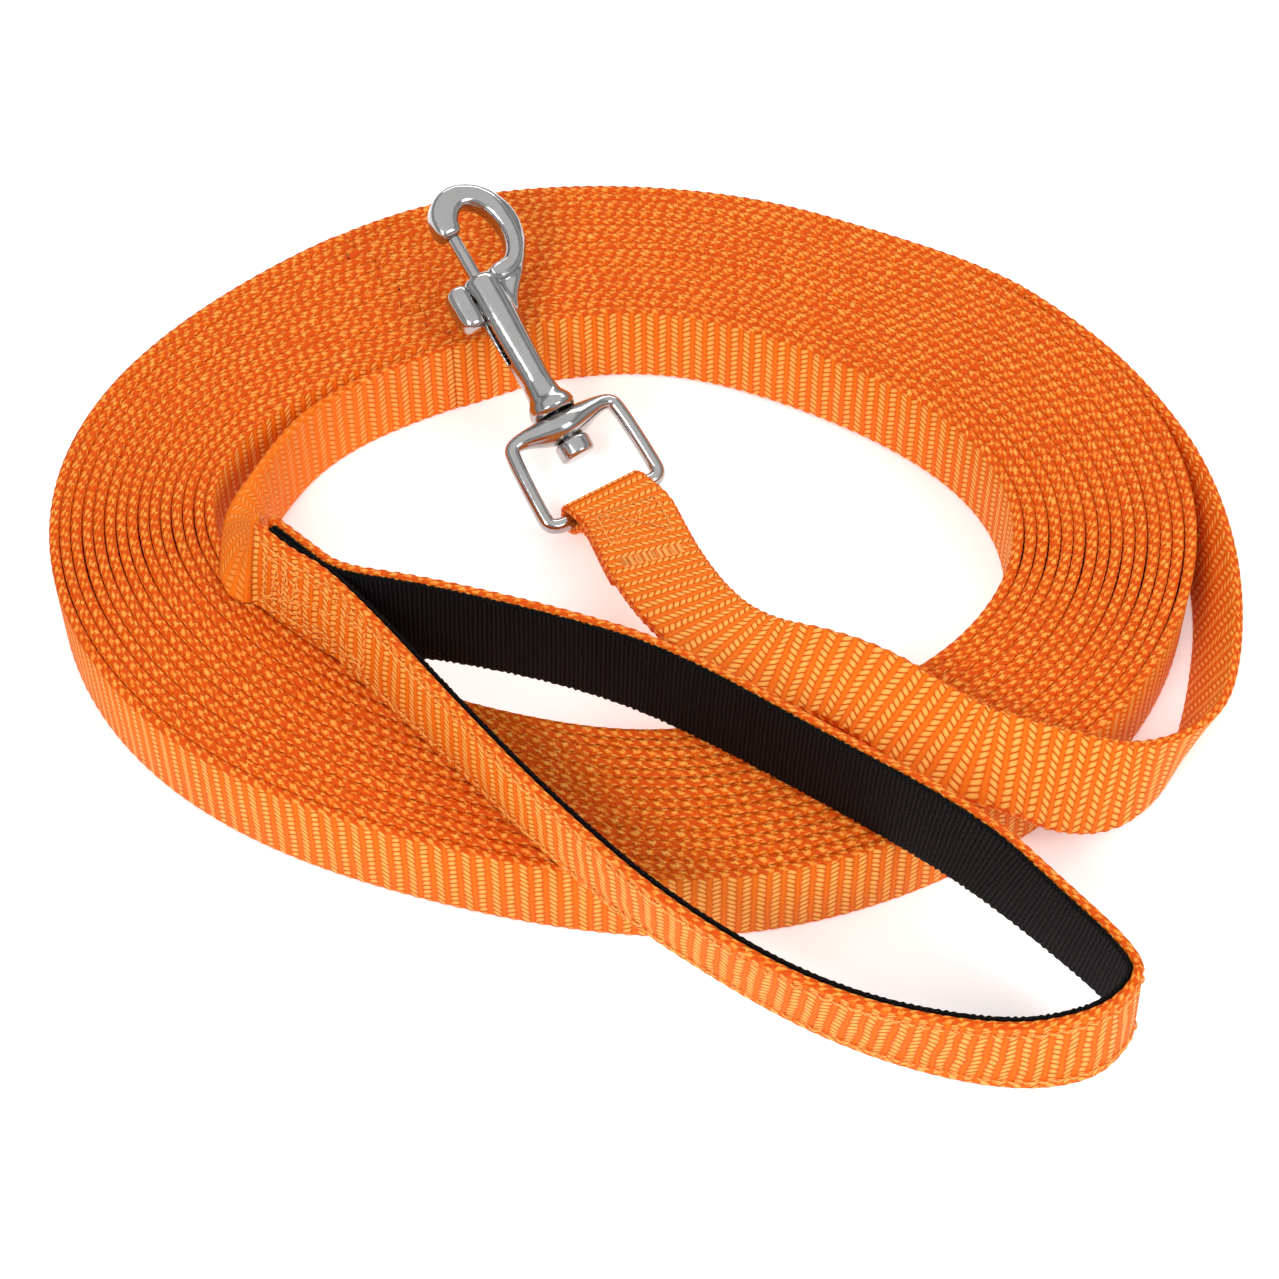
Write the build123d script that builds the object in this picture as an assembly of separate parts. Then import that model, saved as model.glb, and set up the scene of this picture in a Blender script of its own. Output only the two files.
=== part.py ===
from build123d import *
import math
import os

# Training leash: about 9.5 m of 20 mm webbing, wound on edge into a flat oval coil.
# The inner end of the lead is sewn into a lined handle loop that lies over the front
# of the coil.  The outer end leaves the coil, crosses over the coil's front right and
# is sewn round the bar of a swivel eye that carries a bolt snap.
# Millimetres, +Z up, the coil lies flat on z = 0.

# --- webbing -----------------------------------------------------------------
WEB_WIDTH = 20.0
WEB_THICK = 2.0
LINING_WIDTH = 19.4
LINING_THICK = 0.9
LAYER_GAP = 0.15
THREAD_GAP = 0.12
THREAD = 0.5
SECTIONS_PER_STATION = 5

# --- coil: outlines as radii about one centre, every 22.5 degrees from +X -------
COIL_CENTRE = (-4.0, 21.0)
COIL_INNER_R = (82.5, 73.2, 63.0, 59.1, 58.3, 59.5, 66.0, 78.0,
                86.0, 76.0, 65.8, 60.4, 60.3, 63.4, 71.3, 80.0)
COIL_OUTER_R = (121.6, 116.4, 106.6, 102.4, 101.6, 104.7, 108.1, 115.9,
                120.9, 115.0, 104.0, 96.1, 96.6, 101.3, 108.2, 117.0)

# --- clip: a bolt snap on a square swivel eye -----------------------------------
BAR_CENTRE = (-7.2, 34.9, 5.0)
CLIP_AZIMUTH = 124.8
CLIP_LEAN = 29.0
BAR_R = 1.7
BAR_CLEARANCE = 0.08
EYE_HALF_WIDTH = 16.2
EYE_TOP_HALF_WIDTH = 15.5
EYE_LENGTH = 21.0
EYE_LOW_CORNER_R = 2.2
EYE_TOP_CORNER_R = 4.2
CROWN_INNER, CROWN_OUTER = 16.2, 22.6
BOSS_R = 4.6
SWIVEL_CLEARANCE = 0.06
RIVET_NECK_R = 2.1
RIVET_HEAD_R = 4.1
RIVET_HEAD_U = (11.8, 16.05)
COLLAR_U = 22.75
BARREL_R = 4.0
BARREL_MOUTH_U = 57.7
BORE_R = 2.5
BORE_U = (30.0, 54.6)
BOLT_R = 1.45
FIT = 0.05
BOLT_TIP_U = 68.3
PLUNGER_U = (47.2, 54.4)
GATE_TRAVEL = 9.5
SLOT_U = (37.0, 54.4)
SLOT_HALF = 1.3
BUTTON_U = (47.6, 57.0)
BUTTON_V = (-8.6, -4.35)
BUTTON_HALF = 2.5
SPRING_WIRE = 0.45
SPRING_R = 1.85
SPRING_U = (30.6, 46.9)
SPRING_TURNS = 9
HOOK_WEB_HALF = 1.6
HOOK_RIM_HALF = 2.55

# --- the free stretches, as pairs of edge points --------------------------------
# Innermost turn: it leaves the wall of the coil, rolls over at the left and becomes
# the near strand of the handle.  First the edge that starts uppermost, then the other.
INNER_RUN = (
    ((-42.0, 69.4, 20.0), (-42.0, 69.4, 0.0)),
    ((-51.5, 64.8, 20.0), (-51.5, 64.8, 0.0)),
    ((-63.5, 57.2, 20.0), (-63.5, 57.2, 0.0)),
    ((-74.0, 47.0, 20.0), (-72.5, 48.2, 0.0)),
    ((-79.6, 36.0, 20.2), (-78.5, 36.5, 0.8)),
    ((-83.2, 26.0, 20.8), (-80.0, 27.5, 4.5)),
    ((-86.2, 16.5, 21.4), (-80.0, 19.0, 11.0)),
    ((-87.4, 8.5, 21.6), (-78.6, 11.5, 20.0)),
    ((-86.3, 1.8, 21.4), (-77.0, 5.0, 28.5)),
    ((-84.0, -2.4, 21.0), (-76.3, 0.6, 35.4)),
    ((-80.9, -4.9, 20.5), (-76.4, -3.3, 39.2)),
)
# Handle webbing: lower and upper edge, from the neck along the near strand, round the
# end of the loop and back along the far strand.
HANDLE = (
    ((-80.9, -4.9, 20.5), (-76.4, -3.3, 39.2)),
    ((-72.5, -12.0, 20.5), (-69.6, -10.2, 39.4)),
    ((-63.8, -18.4, 20.6), (-63.0, -14.5, 39.6)),
    ((-53.4, -30.2, 20.7), (-50.9, -29.1, 39.9)),
    ((-36.0, -49.1, 20.7), (-36.4, -48.5, 40.2)),
    ((-16.4, -71.8, 20.6), (-17.0, -72.7, 40.2)),
    ((5.0, -92.1, 20.9), (5.8, -96.6, 40.0)),
    ((34.5, -109.3, 15.8), (33.5, -112.2, 35.3)),
    ((63.3, -116.9, 12.2), (63.8, -117.1, 31.6)),
    ((81.7, -115.7, 11.5), (81.5, -113.3, 31.0)),
    ((90.3, -107.5, 11.4), (89.8, -106.3, 31.0)),
    ((91.9, -100.0, 11.1), (90.7, -99.8, 30.8)),
    ((75.1, -84.2, 14.9), (74.6, -83.6, 34.3)),
    ((60.5, -74.6, 20.4), (60.8, -72.3, 39.5)),
    ((35.7, -56.9, 20.9), (35.6, -55.6, 40.5)),
    ((5.3, -36.6, 20.9), (6.1, -34.4, 40.2)),
    ((-14.6, -27.6, 20.9), (-16.2, -25.9, 40.0)),
    ((-37.5, -21.6, 20.9), (-37.1, -19.5, 39.8)),
    ((-48.1, -20.3, 20.9), (-46.3, -16.9, 39.5)),
    ((-61.1, -16.8, 19.6), (-60.2, -13.3, 38.6)),
    ((-69.4, -8.9, 19.5), (-66.5, -7.1, 38.5)),
    ((-77.9, -2.1, 19.6), (-73.4, -0.5, 38.3)),
)
# Free tail: the outermost turn leaves the coil, bows out on the right, climbs over the
# coil's front and goes down to the clip.  Lower edge, then upper edge.
TAIL = (
    ((88.0, 86.6, 0.0), (88.0, 86.6, 20.0)),
    ((97.4, 77.2, 0.0), (97.4, 77.2, 20.0)),
    ((107.0, 64.0, 0.1), (107.2, 64.0, 20.0)),
    ((114.0, 49.6, 0.1), (114.8, 49.8, 20.0)),
    ((118.0, 35.0, 0.3), (120.4, 35.6, 19.8)),
    ((119.4, 19.0, 0.5), (123.6, 20.0, 19.7)),
    ((118.8, 2.0, 0.6), (124.6, 3.0, 19.5)),
    ((115.4, -14.0, 0.6), (122.8, -15.0, 19.1)),
    ((111.2, -28.0, 0.7), (118.6, -30.4, 19.1)),
    ((107.6, -37.4, 1.0), (111.6, -39.0, 20.4)),
    ((101.6, -46.0, 1.6), (103.2, -43.8, 21.2)),
    ((93.4, -53.6, 4.0), (94.4, -45.4, 22.2)),
    ((83.6, -58.6, 11.6), (82.8, -45.4, 25.2)),
    ((74.6, -61.0, 19.7), (71.8, -43.0, 28.3)),
    ((66.0, -60.2, 22.4), (62.4, -40.6, 29.0)),
    ((57.2, -54.0, 24.4), (53.0, -34.6, 29.4)),
    ((47.0, -45.6, 26.4), (41.6, -26.4, 29.8)),
    ((36.0, -41.0, 27.6), (32.4, -21.8, 29.4)),
    ((22.4, -37.4, 28.6), (25.2, -18.4, 28.2)),
    ((9.2, -28.6, 28.4), (20.8, -12.8, 26.4)),
    ((1.6, -18.0, 25.8), (18.0, -6.6, 24.4)),
    ((-2.8, -8.6, 22.8), (15.4, -0.6, 22.6)),
    ((-6.6, 2.4, 18.8), (12.0, 9.8, 18.8)),
    ((-9.6, 14.2, 14.4), (8.8, 22.0, 14.4)),
)
FOLD_LENGTH_STATIONS = 3
TAIL_RISE = 17.0
TAIL_LEAD_IN = 8.5

# From the coil's own axes, used above, to the middle of the leash's box.
TO_BOX_CENTRE = (-0.16, -2.39, 0.0)


# --- vectors ------------------------------------------------------------------
def vec(p):
    return p if isinstance(p, Vector) else Vector(*p)


def lean_axes():
    """Clip axes: along the clip, across it (the bar) and square to its flat."""
    az = math.radians(CLIP_AZIMUTH)
    lean = math.radians(CLIP_LEAN)
    along = Vector(math.cos(lean) * math.cos(az), math.cos(lean) * math.sin(az), math.sin(lean))
    across = Vector(math.sin(az), -math.cos(az), 0.0)
    return along, across, across.cross(along)


def clip_place():
    along, across, _ = lean_axes()
    return Location(Plane(origin=BAR_CENTRE, x_dir=along, z_dir=along.cross(across)))


# --- strips of webbing ----------------------------------------------------------
def spline_points(points, per_span):
    """Points on the quadratic spline whose control points are given."""
    pts = [vec(p) for p in points]
    joints = [pts[0]]
    joints += [(pts[i] + pts[i + 1]) * 0.5 for i in range(1, len(pts) - 2)]
    joints.append(pts[-1])
    out = []
    for i in range(len(joints) - 1):
        a, b, c = joints[i], pts[i + 1], joints[i + 1]
        for k in range(per_span):
            t = k / per_span
            out.append(a * (1 - t) ** 2 + b * (2 * t * (1 - t)) + c * t ** 2)
    out.append(joints[-1])
    return out


def strip_frames(stations, width=None, per_span=SECTIONS_PER_STATION):
    """Centre, half-width vector and unit normal at each section of a strip.

    Without a width, the stations' own widths are kept, for a strip that cups as it rolls.
    """
    first = spline_points([s[0] for s in stations], per_span)
    second = spline_points([s[1] for s in stations], per_span)
    centres = [(a + b) * 0.5 for a, b in zip(first, second)]
    frames = []
    controls = [(vec(a) + vec(b)) * 0.5 for a, b in stations]
    for i, centre in enumerate(centres):
        if i == 0:
            tangent = (controls[1] - controls[0]).normalized()
        elif i == len(centres) - 1:
            tangent = (controls[-1] - controls[-2]).normalized()
        else:
            tangent = (centres[i + 1] - centres[i - 1]).normalized()
        half = (second[i] - first[i]) * 0.5
        if width:
            half = (half - tangent * half.dot(tangent)).normalized() * (width / 2)
        normal = tangent.cross(half).normalized()
        frames.append((centre, half, normal))
    return frames


def offset_frames(frames, offset, width):
    """The same strip moved along its normals, with another width."""
    return [(c + n * offset, h.normalized() * (width / 2), n) for c, h, n in frames]


def solid_from_rings(rings):
    """A closed solid through four-cornered rings, with flat triangles all round."""
    faces = []

    def triangle(a, b, c):
        faces.append(Face(Wire.make_polygon([a, b, c], close=True)))

    def quad(a, b, c, d):
        triangle(a, b, c)
        triangle(a, c, d)

    quad(*rings[0][::-1])
    quad(*rings[-1])
    for low, high in zip(rings, rings[1:]):
        for k in range(4):
            m = (k + 1) % 4
            if k == 2:
                quad(low[m], high[m], high[k], low[k])
            else:
                quad(low[k], low[m], high[m], high[k])
    solid = Solid(Shell(faces))
    return solid if solid.volume > 0 else Solid(Shell([-f for f in faces]))


def strip_solid(frames, thick):
    rings = []
    for centre, half, normal in frames:
        up = normal * (thick / 2)
        rings.append([centre - half - up, centre + half - up, centre + half + up, centre - half + up])
    return solid_from_rings(rings)


def thread_solid(frames, across_from, across_to, offset, size=THREAD, legs=1):
    """A thread on a strip's face, straight or zigzag, from one place across to another."""
    rings = []
    last = len(frames) - 1
    for i, (centre, half, normal) in enumerate(frames):
        unit = half.normalized()
        share = legs * i / last
        swing = share % 2 if share % 2 <= 1 else 2 - share % 2
        place = across_from + (across_to - across_from) * swing
        middle = centre + unit * place + normal * (offset + size / 2 * (1 if offset > 0 else -1))
        side, up = unit * (size / 2), normal * (size / 2)
        rings.append([middle - side - up, middle + side - up, middle + side + up, middle - side + up])
    return solid_from_rings(rings)


def cross_thread(frame, reach, offset, size=THREAD):
    """A thread straight across a strip at one section."""
    centre, half, normal = frame
    unit = half.normalized()
    tangent = half.cross(normal).normalized()
    middle = centre + normal * (offset + size / 2 * (1 if offset > 0 else -1))
    side, up = tangent * (size / 2), normal * (size / 2)
    rings = []
    for place in (-reach, reach):
        c = middle + unit * place
        rings.append([c - side - up, c + side - up, c + side + up, c - side + up])
    return solid_from_rings(rings)


# --- the lead -------------------------------------------------------------------
def outline(radii):
    step = 360.0 / len(radii)
    points = []
    for i, r in enumerate(radii):
        a = math.radians(step * i)
        points.append((COIL_CENTRE[0] + r * math.cos(a), COIL_CENTRE[1] + r * math.sin(a)))
    return Spline(*points, periodic=True)


def lead_coil():
    outer = make_face(outline(COIL_OUTER_R))
    inner = make_face(outline(COIL_INNER_R))
    return extrude(outer - inner, WEB_WIDTH)


def tail_stations():
    """The tail's stations, ended on top of the eye's bar."""
    along, across, _ = lean_axes()
    away = Vector(-along.X, -along.Y, 0.0).normalized()
    rise = math.radians(TAIL_RISE)
    run = away * math.cos(rise) + Vector(0, 0, math.sin(rise))
    normal = Vector(0, 0, math.cos(rise)) - away * math.sin(rise)
    reach = BAR_R + BAR_CLEARANCE + WEB_THICK / 2
    end = vec(BAR_CENTRE) + normal * reach
    half = across * (WEB_WIDTH / 2)
    near = end + run * TAIL_LEAD_IN
    return TAIL + ((near - half, near + half), (end - half, end + half))


def tail_frames():
    return strip_frames(tail_stations(), WEB_WIDTH)


def lead_tail():
    return strip_solid(tail_frames(), WEB_THICK)


def clip_end_fold():
    """The lead's end: half a turn round the bar, then back under the tail."""
    frames = tail_frames()
    end_centre, half, normal = frames[-1]
    bar = vec(BAR_CENTRE)
    up = (end_centre - bar).normalized()
    inner = BAR_R + BAR_CLEARANCE
    forward = half.normalized().cross(up).normalized()
    if forward.dot(end_centre - frames[-6][0]) < 0:
        forward = -forward
    plane = Plane(origin=bar - half, x_dir=forward, z_dir=half.normalized())
    turn = Circle(inner + WEB_THICK) - Circle(inner)
    ahead = Rectangle(2 * inner + 2 * WEB_THICK, 4 * inner + 2 * WEB_THICK, align=(Align.MIN, Align.CENTER))
    bend = extrude(plane * (turn & ahead), WEB_WIDTH)
    count = FOLD_LENGTH_STATIONS * SECTIONS_PER_STATION
    under = []
    closed = WEB_THICK + LAYER_GAP
    opened = 2 * inner + WEB_THICK
    for i, (c, h, n) in enumerate(frames[-count:]):
        down = n if n.Z < 0 else -n
        from_bar = (count - 1 - i) / (SECTIONS_PER_STATION * 1.6)
        drop = closed + (opened - closed) * (1 - min(from_bar, 1.0)) ** 2
        under.append((c + down * drop, h, n))
    return bend + strip_solid(under, WEB_THICK)


def lead_inner_run():
    """The strip cups as it rolls over, so its chord narrows there; it ends where the handle starts."""
    frames = strip_frames(INNER_RUN)
    centre, half, normal = handle_frames()[0]
    frames[-1] = (centre, half, normal if normal.dot(frames[-1][2]) > 0 else -normal)
    return strip_solid(frames, WEB_THICK)


def handle_frames():
    return strip_frames(HANDLE, WEB_WIDTH)


def handle_strap():
    return strip_solid(handle_frames(), WEB_THICK)


def inside_sign(frames):
    """Which side of the handle's webbing faces the inside of the loop."""
    centre, _, normal = frames[len(frames) // 4]
    middle = Vector(0.0, -60.0, 30.0)
    return 1 if (middle - centre).dot(normal) > 0 else -1


def handle_lining():
    frames = handle_frames()
    offset = (WEB_THICK / 2 + LAYER_GAP + LINING_THICK / 2) * inside_sign(frames)
    return strip_solid(offset_frames(frames, offset, LINING_WIDTH)[1:-1], LINING_THICK)


def handle_stitch(across):
    """One row of lockstitch along the outer face of the handle."""
    frames = handle_frames()
    offset = -(WEB_THICK / 2 + THREAD_GAP) * inside_sign(frames)
    return thread_solid(frames[4:-4], across, across, offset)


def neck_stitch():
    """One zigzag thread on the outer face of the neck, between the two edge rows."""
    frames = handle_frames()
    offset = -(WEB_THICK / 2 + THREAD_GAP) * inside_sign(frames)
    return thread_solid(frames[2:15], -5.6, 5.6, offset, THREAD, 6)


def box_stitch(frames, reach, offset):
    """Four sides of a box and one diagonal each way, kept apart where they meet."""
    room = 1.2 * THREAD
    pieces = [
        thread_solid(frames[1:-1], -reach, -reach, offset),
        thread_solid(frames[1:-1], reach, reach, offset),
        cross_thread(frames[0], reach, offset),
        cross_thread(frames[-1], reach, offset),
    ]
    middle = len(frames) // 2
    inner = reach - 2 * room
    pieces.append(thread_solid(frames[1:-1], -inner, inner, offset))
    pieces.append(thread_solid(frames[1:middle], inner, 3 * room, offset))
    pieces.append(thread_solid(frames[middle + 1:-1], -3 * room, -inner, offset))
    return pieces


def tail_top_offset(frames):
    normal = frames[-1][2]
    return (WEB_THICK / 2 + THREAD_GAP) * (1 if normal.Z > 0 else -1)


def clip_end_box_stitch():
    frames = tail_frames()
    return box_stitch(frames[-14:-5], 6.5, tail_top_offset(frames))


def clip_end_bartack():
    """A short, dense zigzag across the lead where the folded end stops."""
    frames = tail_frames()
    offset = tail_top_offset(frames)
    place = frames[-FOLD_LENGTH_STATIONS * SECTIONS_PER_STATION]
    centre, half, normal = place
    tangent = half.cross(normal).normalized()
    pieces = []
    for k in (-1, 0, 1):
        moved = (centre + tangent * (k * 1.4 * THREAD * 2), half, normal)
        pieces.append(cross_thread(moved, 6.5, offset, THREAD))
    return pieces


# --- the clip, in its own axes: X along it, Y across towards the hook, Z square -------
def cylinder_u(radius, start, end, v=0.0):
    return Pos((start + end) / 2, v, 0) * Rot(0, 90, 0) * Cylinder(radius, end - start)


def swivel_eye():
    """Square frame of round bar with a thick arched crown for the rivet."""
    mid = EYE_TOP_HALF_WIDTH - BAR_R
    low = EYE_HALF_WIDTH - BAR_R
    top = EYE_LENGTH - 2 * BAR_R
    corners = make_face(Polyline((top, -mid), (0, -low), (0, low), (top, mid), close=True))
    corners = fillet(corners.vertices().group_by(Axis.X)[0], EYE_LOW_CORNER_R)
    corners = fillet(corners.vertices().group_by(Axis.X)[-1], EYE_TOP_CORNER_R)
    path = corners.face().outer_wire()
    start = Plane(origin=path @ 0, z_dir=path % 0)
    frame = sweep(start * Circle(BAR_R), path=path)
    crown_profile = make_face(Polyline(
        (CROWN_INNER - 0.6, -11.8), (CROWN_INNER, -5.0), (CROWN_INNER, 5.0), (CROWN_INNER - 0.6, 11.8),
        (18.6, 13.1), (21.0, 9.6), (CROWN_OUTER, 4.9), (CROWN_OUTER, -4.9), (21.0, -9.6), (18.6, -13.1),
        close=True,
    ))
    crown = extrude(crown_profile, BAR_R + 0.6, both=True)
    boss = cylinder_u(BOSS_R, CROWN_INNER, CROWN_OUTER)
    hole = cylinder_u(RIVET_NECK_R + SWIVEL_CLEARANCE, CROWN_INNER - 2, CROWN_OUTER + 2)
    return (frame + crown + boss) - hole - cylinder_u(5.4, CROWN_INNER - 6, CROWN_INNER)


def swivel_rivet():
    """Headed pin through the crown, pressed into the end of the barrel."""
    head = cylinder_u(RIVET_HEAD_R, *RIVET_HEAD_U)
    head = chamfer(head.edges().filter_by(GeomType.CIRCLE), 0.5)
    return head + cylinder_u(RIVET_NECK_R, RIVET_HEAD_U[1] - 0.5, BORE_U[0])


def hook_profile():
    """Outline of the hook, from the barrel round to the tip and back inside the opening."""
    outside = Spline(
        (42.0, 3.4), (46.5, 4.3), (50.5, 6.3), (54.5, 9.8), (58.5, 12.9), (63.0, 15.0), (68.5, 15.5),
        (73.8, 13.3), (77.5, 9.0), (78.6, 4.2), (77.3, 0.2), (74.4, -2.4), (71.2, -3.1), (68.6, -2.7),
    )
    tip = Line((68.6, -2.7), (68.6, 1.9))
    inside = Spline(
        (68.6, 1.9), (71.2, 2.2), (73.3, 4.0), (73.6, 6.6), (71.4, 9.1), (66.6, 10.6),
        (61.8, 10.2), (59.0, 8.2), (58.4, 4.6), (57.6, 3.0),
    )
    back = Polyline((57.6, 3.0), (57.6, 0.0), (42.0, 0.0), (42.0, 3.4))
    return make_face(outside + tip + inside + back)


def rim_zone():
    """The area round the hook's opening where the casting is thicker."""
    return make_face(Spline(
        (66.0, -6.0), (73.6, -5.0), (78.4, 1.0), (77.6, 8.0), (74.0, 12.4), (67.2, 13.8), (60.4, 13.0),
        (56.2, 9.6), (55.0, 4.0), (57.5, -3.0), periodic=True,
    ))


def snap_body():
    """Cast hook and barrel: thin web, thick rounded rim, bored barrel with a side slot."""
    profile = hook_profile()
    web = extrude(profile, HOOK_WEB_HALF, both=True)
    rim = extrude(profile & rim_zone(), HOOK_RIM_HALF, both=True)
    collar = make_face(Polyline(
        (COLLAR_U, 0), (COLLAR_U, 4.9), (COLLAR_U + 1.2, 5.5), (COLLAR_U + 2.8, 5.1), (COLLAR_U + 4.6, 3.9),
        (COLLAR_U + 8.0, 3.5), (40.0, BARREL_R - 0.1), (46.0, BARREL_R), (BARREL_MOUTH_U - 0.8, BARREL_R),
        (BARREL_MOUTH_U, BARREL_R - 0.7), (BARREL_MOUTH_U, 0), close=True,
    ))
    barrel = revolve(collar, Axis.X)
    body = web + rim + barrel
    body -= cylinder_u(RIVET_NECK_R, COLLAR_U - 1, BORE_U[0])
    body -= cylinder_u(BORE_R, *BORE_U)
    body -= cylinder_u(BOLT_R + FIT, BORE_U[1] - 1, BOLT_TIP_U + 0.25)
    slot = Pos((SLOT_U[0] + SLOT_U[1]) / 2, -BARREL_R, 0) * Box(SLOT_U[1] - SLOT_U[0], 2 * BARREL_R, 2 * SLOT_HALF)
    return body - slot


def gate_bolt():
    """Round bolt that closes the hook, with a plunger on its inner end."""
    rod = cylinder_u(BOLT_R, PLUNGER_U[1] - 0.5, BOLT_TIP_U)
    rod = chamfer(rod.edges().group_by(Axis.X)[-1], 0.25)
    plunger = cylinder_u(BORE_R - FIT, *PLUNGER_U)
    seat = Pos((PLUNGER_U[0] + PLUNGER_U[1]) / 2, -2.4, 0) * Box(4.4, 2.4, 2 * BORE_R)
    return rod + plunger - seat


def thumb_button():
    """Rounded block outside the barrel, with a neck through the slot to the plunger."""
    length = BUTTON_U[1] - BUTTON_U[0]
    height = BUTTON_V[1] - BUTTON_V[0]
    block = Pos(sum(BUTTON_U) / 2, sum(BUTTON_V) / 2, 0) * Box(length, height, 2 * BUTTON_HALF)
    outer = block.faces().sort_by(Axis.Y)[0]
    block = fillet(outer.edges(), 1.6)
    neck_top = -1.2 - 0.02
    neck_low = BUTTON_V[1] - 0.4
    neck = Pos(sum(PLUNGER_U) / 2, (neck_low + neck_top) / 2, 0) * Box(
        4.3, neck_top - neck_low, 2 * SLOT_HALF - 0.4)
    return block + neck


def gate_spring():
    pitch = (SPRING_U[1] - SPRING_U[0] - SPRING_WIRE) / SPRING_TURNS
    path = Helix(pitch=pitch, height=pitch * SPRING_TURNS, radius=SPRING_R)
    start = Plane(origin=path @ 0, z_dir=path % 0)
    coil = sweep(start * Circle(SPRING_WIRE / 2), path=path, is_frenet=True)
    return Pos(SPRING_U[0] + SPRING_WIRE / 2, 0, 0) * Rot(0, 90, 0) * coil


# --- all nodes ------------------------------------------------------------------
def build():
    place = clip_place()
    nodes = {
        "lead_coil": lead_coil(),
        "lead_inner_run": lead_inner_run(),
        "lead_tail": lead_tail(),
        "clip_end_fold": clip_end_fold(),
        "clip_end_box_stitch": clip_end_box_stitch(),
        "clip_end_bartack": clip_end_bartack(),
        "handle_strap": handle_strap(),
        "handle_lining": handle_lining(),
        "handle_stitch_upper": handle_stitch(7.4),
        "handle_stitch_lower": handle_stitch(-7.4),
        "neck_stitch": neck_stitch(),
    }
    clip = {
        "swivel_eye": swivel_eye,
        "swivel_rivet": swivel_rivet,
        "snap_body": snap_body,
        "gate_bolt": gate_bolt,
        "thumb_button": thumb_button,
        "gate_spring": gate_spring,
    }
    for name, make in clip.items():
        nodes[name] = place * make()
    return nodes


def as_compound(shape):
    if isinstance(shape, (list, tuple)):
        solids = []
        for one in shape:
            solids += one.solids()
        return Compound(children=solids)
    return shape


def main():
    os.makedirs("parts", exist_ok=True)
    nodes = {name: as_compound(shape) for name, shape in build().items()}
    box = Compound(children=[s for shape in nodes.values() for s in shape.solids()]).bounding_box()
    print("middle of the box", box.center(), "lowest", box.min.Z)
    shift = Pos(*TO_BOX_CENTRE)
    for name, shape in nodes.items():
        export_step(shift * shape, f"parts/{name}.step")
        print(name, len(shape.solids()), "solids", round(shape.volume, 1), "mm3")


main()
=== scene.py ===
# %% [markdown]
# # A training leash, rebuilt piece by piece
#
# The leash is one strap of orange webbing, 20 mm wide and about 9.5 m long.  Most of it
# is wound on edge into a flat oval coil.  Its inner end is sewn into a black-lined hand loop,
# and its outer end is sewn round the swivel eye of a bolt snap.
#
# The CAD model gives the frame: every place here is in the same axes, in metres.  This script
# makes the cloth pieces as woven straps, gives the metal its finish, and sets up the picture.

# %% [markdown]
# ## Frame and sizes
#
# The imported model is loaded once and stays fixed.  The driving sizes of the cloth come next, in
# millimetres, because webbing is sold and sewn in millimetres.  They could be metres from the
# start, but then every number would be harder to compare with a ruler.

# %% Frame and sizes
import math

import bpy
import numpy as np
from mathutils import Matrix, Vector


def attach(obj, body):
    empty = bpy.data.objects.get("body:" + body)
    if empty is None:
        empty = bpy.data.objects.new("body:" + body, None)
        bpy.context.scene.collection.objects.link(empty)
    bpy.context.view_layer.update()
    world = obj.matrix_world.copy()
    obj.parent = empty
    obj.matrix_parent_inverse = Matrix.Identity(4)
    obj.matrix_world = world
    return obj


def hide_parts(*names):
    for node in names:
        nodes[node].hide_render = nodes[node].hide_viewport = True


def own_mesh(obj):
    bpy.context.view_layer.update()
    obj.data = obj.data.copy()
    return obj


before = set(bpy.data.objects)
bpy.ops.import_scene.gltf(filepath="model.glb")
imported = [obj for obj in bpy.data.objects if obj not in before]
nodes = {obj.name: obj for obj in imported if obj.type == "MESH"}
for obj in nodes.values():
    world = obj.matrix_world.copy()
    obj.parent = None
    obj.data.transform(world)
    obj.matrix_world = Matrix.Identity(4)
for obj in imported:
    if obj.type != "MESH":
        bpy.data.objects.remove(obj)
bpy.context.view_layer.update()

MM = 0.001
# The routes are written from the coil's middle; this moves them to the middle of the whole box.
TO_BOX_CENTRE = np.array((-0.16, -2.39, 0.0))

WEB_WIDTH = 20.0
WEB_THICK = 2.0
# A rib of the weave takes this much of the strap's length, and a dash this much of its width.
RIB = 2.85
DASH = 1.48
# Sections of a strap stand this far apart, four to a rib.
STEP = RIB / 4
LINING_WIDTH = 19.4
LINING_THICK = 0.9
LINING_RIB = 1.6
LAYER_GAP = 0.15
# The hand loop's two rows of sewing run this far from the strap's middle line.
STITCH_ROW = 7.4

# %% [markdown]
# ## Routes
#
# These are the routes of the free stretches, repeated from the CAD source, in
# millimetres in the coil's own axes.  Each station is a pair of points, one on either edge
# of the strap, so that a route says how the strap leans as well as where it goes.

# %% Route of the inner run and the hand loop
INNER_RUN = (
    ((-42.0, 69.4, 20.0), (-42.0, 69.4, 0.0)),
    ((-51.5, 64.8, 20.0), (-51.5, 64.8, 0.0)),
    ((-63.5, 57.2, 20.0), (-63.5, 57.2, 0.0)),
    ((-74.0, 47.0, 20.0), (-72.5, 48.2, 0.0)),
    ((-79.6, 36.0, 20.2), (-78.5, 36.5, 0.8)),
    ((-83.2, 26.0, 20.8), (-80.0, 27.5, 4.5)),
    ((-86.2, 16.5, 21.4), (-80.0, 19.0, 11.0)),
    ((-87.4, 8.5, 21.6), (-78.6, 11.5, 20.0)),
    ((-86.3, 1.8, 21.4), (-77.0, 5.0, 28.5)),
    ((-84.0, -2.4, 21.0), (-76.3, 0.6, 35.4)),
    ((-80.9, -4.9, 20.5), (-76.4, -3.3, 39.2)),
)
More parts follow.
